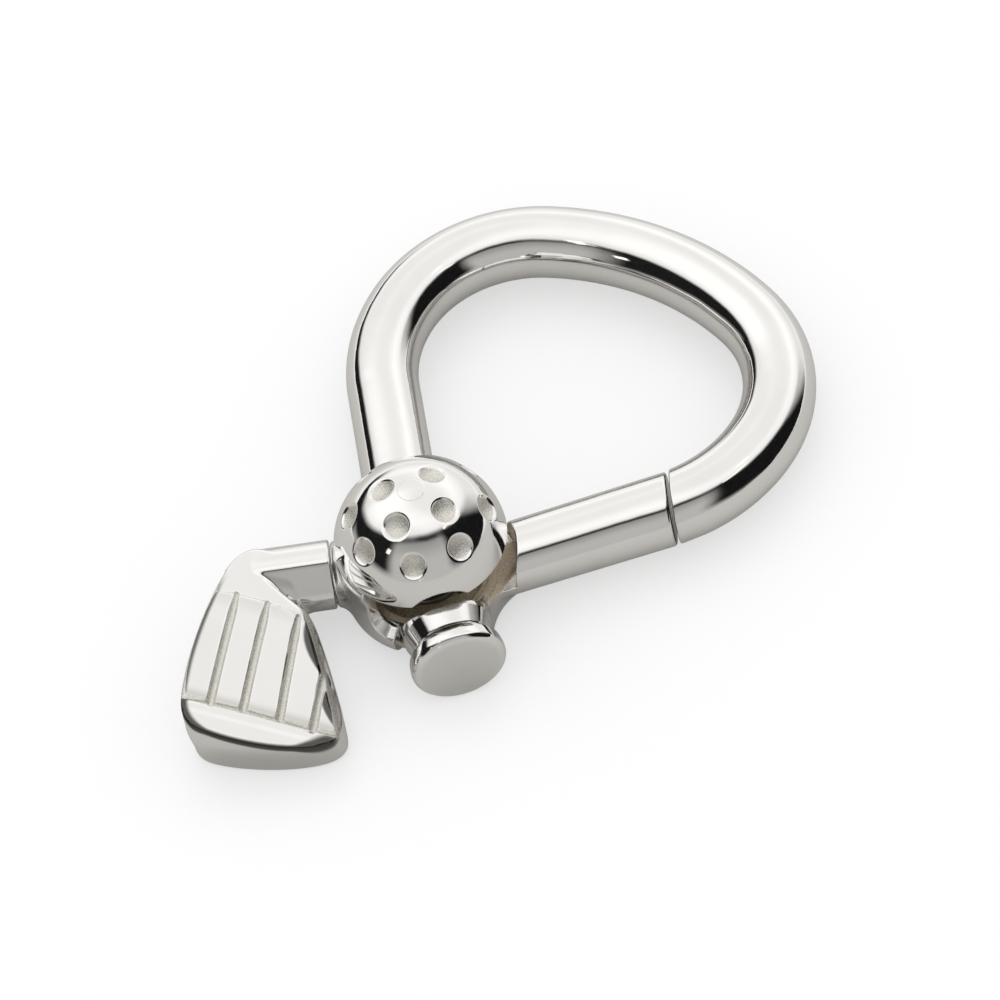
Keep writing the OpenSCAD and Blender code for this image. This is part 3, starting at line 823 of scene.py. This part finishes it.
def silver(name, mask=None, tint=SILVER, satin=SATIN, rough=0.045, skin=1.0, blur=None):
    """Mirror polished silver. mask(g, coords) says where the surface is left satin."""
    mat, nt, out = nodes_of(name)
    g = G(nt)
    tc = nt.nodes.new("ShaderNodeTexCoord")
    co = g.v("SUBTRACT", tc.outputs["Object"], tuple(PIVOT))
    b = nt.nodes.new("ShaderNodeBsdfPrincipled")
    b.inputs["Metallic"].default_value = 1.0
    big = g.noise(co, 240, 2.0)
    mid = g.noise(co, 1500, 3.0)
    fine = g.noise(g.v("MULTIPLY", co, (1.0, 6.0, 3.0)), 9000, 4.0, 0.6)
    grain = g.noise(co, 14000, 2.0, 0.7)
    r = g.m("ADD", rough, g.m("MULTIPLY", g.ramp(fine, 0.45, 0.75), 0.05))
    r = g.m("ADD", r, g.m("MULTIPLY", g.ramp(mid, 0.5, 0.8), 0.04))
    col = g.mix(g.ramp(big, 0.3, 0.75), tint, tuple(t * 0.97 for t in tint))
    # painted shade and painted dark reflection: where this attribute is set, the silver is painted near black
    kept = nt.nodes.new("ShaderNodeAttribute")
    kept.attribute_name = "painted_shade_and_reflection"
    col = g.mix(kept.outputs["Fac"], col, (0.035, 0.030, 0.024))
    if blur is not None:
        r = g.m("ADD", r, g.m("MULTIPLY", blur(g, co), 0.20))
    height = g.m("ADD", g.m("MULTIPLY", big, 1.0), g.m("MULTIPLY", mid, 0.05))
    bump = nt.nodes.new("ShaderNodeBump")
    bump.inputs["Strength"].default_value = 1.0
    bump.inputs["Distance"].default_value = 0.00005
    g.put(bump.inputs["Height"], height)
    nrm = bump.outputs[0]
    if mask is not None:
        m = mask(g, co)
        speck = g.ramp(grain, 0.4, 0.65)
        sat = g.mix(speck, tuple(t * 0.8 for t in satin), satin)
        col = g.mix(m, col, sat)
        g.put(b.inputs["Metallic"], g.m("SUBTRACT", 1.0, g.m("MULTIPLY", m, 1.0 - skin)))
        r = g.m("ADD", g.m("MULTIPLY", r, g.m("SUBTRACT", 1.0, m)), g.m("MULTIPLY", g.m("ADD", 0.26, g.m("MULTIPLY", speck, 0.12)), m))
        b2 = nt.nodes.new("ShaderNodeBump")
        b2.inputs["Distance"].default_value = 0.00004
        g.put(b2.inputs["Strength"], g.m("MULTIPLY", m, 0.9))
        g.put(b2.inputs["Height"], g.m("ADD", grain, g.m("MULTIPLY", fine, 0.5)))
        nt.links.new(nrm, b2.inputs["Normal"])
        nrm = b2.outputs[0]
    nt.links.new(nrm, b.inputs["Normal"])
    g.put(b.inputs["Base Color"], col)
    g.put(b.inputs["Roughness"], r)
    nt.links.new(b.outputs[0], out.inputs[0])
    return mat


def ball_mask(g, co):
    """Satin inside the dimples and inside the shell."""
    ln = g.v("LENGTH", g.v("SUBTRACT", co, tuple(c * MM for c in BALL_C)))
    return g.ramp(ln, (BALL_R - 0.20) * MM, (BALL_R - 0.07) * MM, 1.0, 0.0)


def head_mask(g, co):
    """Satin below the face plane, where the grooves are, but not on the outside walls."""
    c, s = math.cos(HEAD_TURN), math.sin(HEAD_TURN)
    n = (-s * math.sin(FACE), c * math.sin(FACE), math.cos(FACE))
    p0 = (HEAD_AT[0] - s * FACE_Y, HEAD_AT[1] + c * FACE_Y, FACE_Z)
    off = sum(n[i] * p0[i] for i in range(3)) * MM
    h = g.m("SUBTRACT", g.v("DOT_PRODUCT", co, n), off)
    lx = g.v("DOT_PRODUCT", g.v("SUBTRACT", co, tuple(a * MM for a in (HEAD_AT[0], HEAD_AT[1], 0))), (c, s, 0))
    low = g.ramp(h, -0.055 * MM, -0.035 * MM, 1.0, 0.0)
    deep = g.ramp(h, -0.30 * MM, -0.27 * MM, 0.0, 1.0)
    inx = g.m("MULTIPLY", g.ramp(lx, 1.9 * MM, 2.1 * MM), g.ramp(lx, 11.2 * MM, 11.35 * MM, 1.0, 0.0))
    # points a little below the face plane, no deeper than the grooves, belong to groove floors
    return g.m("MULTIPLY", g.m("MULTIPLY", low, deep), inx)


def inside_mask(g, co):
    """Satin, darker cast skin inside the cup and the hub."""
    flat = g.v("MULTIPLY", co, (1.0, 1.0, 0.0))
    ln = g.v("LENGTH", flat)
    z = g.v("DOT_PRODUCT", co, (0, 0, 1))
    return g.m("MULTIPLY", g.ramp(ln, 4.78 * MM, 4.83 * MM, 1.0, 0.0), g.ramp(z, -2.0 * MM, -1.9 * MM))


def collar_blur(g, co):
    """The housing, its collar above all, is less finely polished than the rest."""
    z = g.v("DOT_PRODUCT", co, (0, 0, 1))
    return g.m("MULTIPLY", g.ramp(z, 1.2 * MM, 2.6 * MM, 0.75, 1.0), g.ramp(g.noise(co, 700, 2.0), 0.2, 0.7, 0.6, 1.0))


def hub_blur(g, co):
    """The hub's wall in the window is less finely polished."""
    ln = g.v("LENGTH", g.v("MULTIPLY", co, (1.0, 1.0, 0.0)))
    return g.ramp(ln, 4.9 * MM, 5.2 * MM, 1.0, 0.0)


def lever_mask(g, co):
    """Satin on the gate's inner end and inside the hub."""
    ln = g.v("LENGTH", g.v("MULTIPLY", co, (1.0, 1.0, 0.0)))
    z = g.v("DOT_PRODUCT", co, (0, 0, 1))
    inner = g.ramp(ln, 4.4 * MM, 4.5 * MM, 1.0, 0.0)
    along = g.v("DOT_PRODUCT", co, (GU[0], GU[1], 0))
    end = g.m("MULTIPLY", g.m("MULTIPLY", g.ramp(ln, 6.2 * MM, 6.26 * MM, 1.0, 0.0), g.ramp(z, -0.18 * MM, -0.1 * MM)),
              g.ramp(along, 2.6 * MM, 3.4 * MM))
    return g.m("MAXIMUM", inner, end)


def cap_mask(g, co):
    """Slightly satin flat end."""
    a = g.v("DOT_PRODUCT", co, (PU[0], PU[1], 0))
    return g.m("MULTIPLY", g.ramp(a, 8.385 * MM, 8.398 * MM), 0.35)


def turned(name, base, dark, rough, scale=2600.0):
    """Turned or drawn metal with fine rings along z."""
    mat, nt, out = nodes_of(name)
    g = G(nt)
    tc = nt.nodes.new("ShaderNodeTexCoord")
    co = g.v("SUBTRACT", tc.outputs["Object"], tuple(PIVOT))
    b = nt.nodes.new("ShaderNodeBsdfPrincipled")
    b.inputs["Metallic"].default_value = 1.0
    rings = g.noise(g.v("MULTIPLY", co, (0.15, 0.15, 4.0)), scale, 3.0, 0.6)
    spots = g.noise(co, 900, 3.0)
    g.put(b.inputs["Base Color"], g.mix(g.m("MULTIPLY", g.ramp(spots, 0.35, 0.7), g.ramp(rings, 0.2, 0.8)), dark, base))
    g.put(b.inputs["Roughness"], g.m("ADD", rough, g.m("MULTIPLY", rings, 0.18)))
    bump = nt.nodes.new("ShaderNodeBump")
    bump.inputs["Strength"].default_value = 0.5
    bump.inputs["Distance"].default_value = 0.00001
    g.put(bump.inputs["Height"], rings)
    nt.links.new(bump.outputs[0], b.inputs["Normal"])
    nt.links.new(b.outputs[0], out.inputs[0])
    return mat


M = {
    "plain": silver("polished_silver"),
    "ball": silver("polished_silver_ball", ball_mask, satin=(0.93, 0.90, 0.84)),
    "head": silver("polished_silver_head", head_mask),
    "cup": silver("polished_silver_cup", inside_mask, satin=(0.60, 0.50, 0.36), skin=0.35, blur=collar_blur),
    "lever": silver("polished_silver_lever", lever_mask, satin=(0.60, 0.50, 0.36), skin=0.35, blur=hub_blur),
    "cap": silver("polished_silver_cap", cap_mask, satin=(0.88, 0.87, 0.84)),
    "steel": turned("turned_steel", (0.56, 0.54, 0.50), (0.36, 0.33, 0.29), 0.22),
    "bronze": turned("bush_bronze", (0.72, 0.53, 0.28), (0.42, 0.29, 0.14), 0.24),
    "wire": turned("spring_steel", (0.42, 0.40, 0.38), (0.22, 0.20, 0.18), 0.25, 6000.0),
}


def dress(ob, mat, body, slot_name, *nodes):
    ob.data.materials.clear()
    ob.data.materials.append(mat)
    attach(ob, body)
    if nodes:
        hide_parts(*nodes)


dress(loop, M["plain"], "frame", "polished_silver", "loop_rod")
dress(dome, M["ball"], "frame", "polished_silver", "ball_dome")
dress(cup, M["cup"], "frame", "polished_silver", "housing_cup")
dress(head, M["head"], "frame", "polished_silver", "club_head")
dress(pin, M["plain"], "frame", "polished_silver", "pivot_pin")
dress(lever, M["lever"], "lever", "polished_silver", "lever_hub", "gate_arm")
dress(cap, M["cap"], "lever", "polished_silver", "grip_cap")
# the spring is baked in place and attached to no body, so it does not turn with the lever
spring.data.materials.append(M["wire"])
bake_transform(spring)
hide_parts("return_spring")

for node, mat in (("spring_post", "steel"), ("pivot_bush", "bronze"), ("washer_lower", "bronze"), ("washer_upper", "bronze")):
    ob = frame["nodes"][node]
    for sl in ob.material_slots:
        sl.link = "OBJECT"
        sl.material = M[mat]


# ---------------------------------------------------------------- studio
def lin(v):
    return v ** 2.2


def build_world():
    w = bpy.data.worlds.new("studio")
    bpy.context.scene.world = w
    w.use_nodes = True
    nt = w.node_tree
    nt.nodes.clear()
    g = G(nt)
    out = nt.nodes.new("ShaderNodeOutputWorld")
    tc = nt.nodes.new("ShaderNodeTexCoord")
    d = g.v("NORMALIZE", tc.outputs["Generated"])
    x = g.v("DOT_PRODUCT", d, (1, 0, 0))
    y = g.v("DOT_PRODUCT", d, (0, 1, 0))
    z = g.v("DOT_PRODUCT", d, (0, 0, 1))
    # bearing measured from the camera's side, so that nothing wraps in front: 0 is the camera, + is to its right
    cb = rad(-52.3)
    fx, fy = math.cos(cb), math.sin(cb)
    u = g.v("DOT_PRODUCT", d, (fx, fy, 0))
    v = g.v("DOT_PRODUCT", d, (-fy, fx, 0))
    az = g.m("MULTIPLY", g.m("ARCTAN2", v, u), 180 / math.pi)
    el = g.m("MULTIPLY", g.m("ARCSINE", z), 180 / math.pi)

    def box(a0, a1, e0, e1, sa=4.0, se=4.0, ka0=0.0, ka1=0.0, ke0=0.0, ke1=0.0, ref_a=0.0, ref_e=20.0):
        """Soft window in bearing and height; k terms slant its edges."""
        de = g.m("SUBTRACT", el, ref_e)
        da = g.m("SUBTRACT", az, ref_a)
        A0 = g.m("SUBTRACT", az, g.m("MULTIPLY_ADD", de, ka0, a0))
        A1 = g.m("SUBTRACT", g.m("MULTIPLY_ADD", de, ka1, a1), az)
        E0 = g.m("SUBTRACT", el, g.m("MULTIPLY_ADD", da, ke0, e0))
        E1 = g.m("SUBTRACT", g.m("MULTIPLY_ADD", da, ke1, e1), el)
        r = g.m("MULTIPLY", g.ramp(A0, -sa, sa), g.ramp(A1, -sa, sa))
        return g.m("MULTIPLY", r, g.m("MULTIPLY", g.ramp(E0, -se, se), g.ramp(E1, -se, se)))

    def grey(t, warm=1.0):
        return (lin(t) * (1 + 0.01 * warm), lin(t), lin(t) * (1 - 0.03 * warm))
    # camera side of the room
    col = g.mix(g.ramp(el, 22, 64), grey(0.72), grey(0.50))
    # bright rear, seen low behind the object
    rear = g.m("MULTIPLY", g.ramp(g.m("ABSOLUTE", az), 108, 132), g.ramp(el, -60, -30))
    col = g.mix(rear, col, grey(0.93, 0.5))
    # dark cards on the left and right
    dark_l = box(-150, -47, 5, 62, 9, 6, ka0=0.3, ka1=-0.15, ref_a=-90)
    dark_l = g.m("MAXIMUM", dark_l, box(-166, -112, -14, 26, 8, 7))
    col = g.mix(dark_l, col, grey(0.12, 0))
    dark_r = box(37, 104, -2, 64, 8, 8, ka0=0.3, ka1=-0.55, ke0=-0.35, ref_a=60)
    col = g.mix(dark_r, col, grey(0.10, 0))
    # large soft box overhead and behind, with its dark rim
    b = rad(61.9)
    n = (math.cos(b) * -fx, math.cos(b) * -fy, math.sin(b))
    dn = g.v("DOT_PRODUCT", d, n)
    rim = g.m("MULTIPLY", g.ramp(dn, 0.36, 0.45), box(-85, 85, 0, 90, 12, 4))
    col = g.mix(g.m("MULTIPLY", rim, g.ramp(g.m("ABSOLUTE", g.m("SUBTRACT", az, 15.0)), 15, 35, 0.92, 0.6)), col, grey(0.13, 0))
    top = g.ramp(dn, 0.47, 0.60)
    drift = g.noise(g.v("MULTIPLY", d, (1.0, 1.0, 1.6)), 1.15, 0.0)
    shade = g.m("MULTIPLY", g.ramp(drift, 0.22, 0.56, 0.5, 1.0), g.ramp(dn, 0.52, 0.78, 0.6, 1.0))
    col = g.mix(top, col, g.mix(shade, grey(0.84, 0.5), grey(1.05, 0.3)))
    # small lamps
    for a0, a1, e0, e1, s in ((-50.5, -43, 50, 58, 1.4), (-57.5, -51.5, 29, 34.5, 1.4), (-11.5, -6.5, 3.5, 7.5, 1.3), (57, 75, 49, 51.5, 1.2), (82, 89, 56.5, 60.5, 1.4)):
        lamp = box(a0, a1, e0, e1, 1.2, 1.2)
        col = g.mix(lamp, col, (s * 1.1, s, s * 0.92))
    lp = nt.nodes.new("ShaderNodeLightPath")
    bg_env = nt.nodes.new("ShaderNodeBackground")
    g.put(bg_env.inputs[0], col)
    bg_cam = nt.nodes.new("ShaderNodeBackground")
    bg_cam.inputs[0].default_value = (1, 1, 1, 1)
    bg_cam.inputs[1].default_value = 1.0
    bg_dif = nt.nodes.new("ShaderNodeBackground")
    bg_dif.inputs[0].default_value = (1, 1, 1, 1)
    bg_dif.inputs[1].default_value = 1.06
    m1 = nt.nodes.new("ShaderNodeMixShader")
    nt.links.new(lp.outputs["Is Glossy Ray"], m1.inputs[0])
    nt.links.new(bg_dif.outputs[0], m1.inputs[1])
    nt.links.new(bg_env.outputs[0], m1.inputs[2])
    m2 = nt.nodes.new("ShaderNodeMixShader")
    nt.links.new(lp.outputs["Is Camera Ray"], m2.inputs[0])
    nt.links.new(m1.outputs[0], m2.inputs[1])
    nt.links.new(bg_cam.outputs[0], m2.inputs[2])
    nt.links.new(m2.outputs[0], out.inputs[0])


build_world()


def build_floor():
    s = 2500.0
    n = 8
    pts, faces = [], []
    for i in range(n + 1):
        for j in range(n + 1):
            pts.append((s * (i / n - 0.5), s * (j / n - 0.5), floor_z / MM - PIV[2]))
    for i in range(n):
        for j in range(n):
            a = i * (n + 1) + j
            faces.append((a, a + n + 1, a + n + 2, a + 1))
    ob = make("floor", pts, faces)
    mat, nt, out = nodes_of("pale_floor")
    g = G(nt)
    lp = nt.nodes.new("ShaderNodeLightPath")
    geo = nt.nodes.new("ShaderNodeNewGeometry")
    cb = rad(118)
    along = g.v("DOT_PRODUCT", g.v("SUBTRACT", geo.outputs["Position"], tuple(PIVOT)), (math.cos(cb), math.sin(cb), 0))
    far = g.ramp(along, 0.012, 0.11)
    paper = g.noise(geo.outputs["Position"], 40, 2.0)
    seen = g.mix(paper, (0.955, 0.955, 0.955), (0.965, 0.965, 0.965))
    # painted reflection: in reflections the floor shows grey in front and lighter behind, standing in for how it is lit
    painted_reflected_floor = g.mix(far, (0.50, 0.49, 0.47), (0.80, 0.80, 0.79))
    col = g.mix(lp.outputs["Is Glossy Ray"], seen, painted_reflected_floor)
    b = nt.nodes.new("ShaderNodeBsdfDiffuse")
    g.put(b.inputs[0], col)
    # painted light: camera rays see the floor as 56% glow, so the shadows on it stay faint
    e = nt.nodes.new("ShaderNodeEmission")
    e.inputs[0].default_value = (0.955, 0.955, 0.955, 1)
    mixer = nt.nodes.new("ShaderNodeMixShader")
    g.put(mixer.inputs[0], g.m("MULTIPLY", lp.outputs["Is Camera Ray"], 0.56))
    nt.links.new(b.outputs[0], mixer.inputs[1])
    nt.links.new(e.outputs[0], mixer.inputs[2])
    nt.links.new(mixer.outputs[0], out.inputs[0])
    ob.data.materials.append(mat)


build_floor()


def area(name, az, el, dist, size, power):
    l = bpy.data.lights.new(name, "AREA")
    l.shape = "DISK"
    l.size = size
    l.energy = power
    l.specular_factor = 0.0
    o = bpy.data.objects.new(name, l)
    d = Vector((math.cos(rad(az)) * math.cos(rad(el)), math.sin(rad(az)) * math.cos(rad(el)), math.sin(rad(el))))
    o.location = d * dist + Vector(PIVOT)
    o.rotation_euler = (-d).to_track_quat("-Z", "Y").to_euler()
    o.visible_glossy = False
    bpy.context.scene.collection.objects.link(o)
    return o


area("soft_key", 128, 58, 0.6, 0.45, 0.35)

# ---------------------------------------------------------------- camera
cam = bpy.data.cameras.new("camera")
cam.lens = 216.0
cam.sensor_width = 36.0
cam.sensor_fit = "HORIZONTAL"
cam.clip_start = 0.01
cam.clip_end = 20.0
co = bpy.data.objects.new("camera", cam)
right = Vector((0.863, 0.493, -0.107)).normalized()
back = Vector((0.377, -0.488, 0.787)).normalized()
right = (right - back * right.dot(back)).normalized()
up = back.cross(right)
loc = Vector((154.262, -190.437, 319.084)) * MM + Vector(PIVOT)
co.matrix_world = Matrix(((right.x, up.x, back.x, loc.x), (right.y, up.y, back.y, loc.y), (right.z, up.z, back.z, loc.z), (0, 0, 0, 1)))
bpy.context.scene.collection.objects.link(co)
bpy.context.scene.camera = co
bpy.context.scene.view_settings.view_transform = "Standard"
bpy.context.scene.view_settings.look = "None"
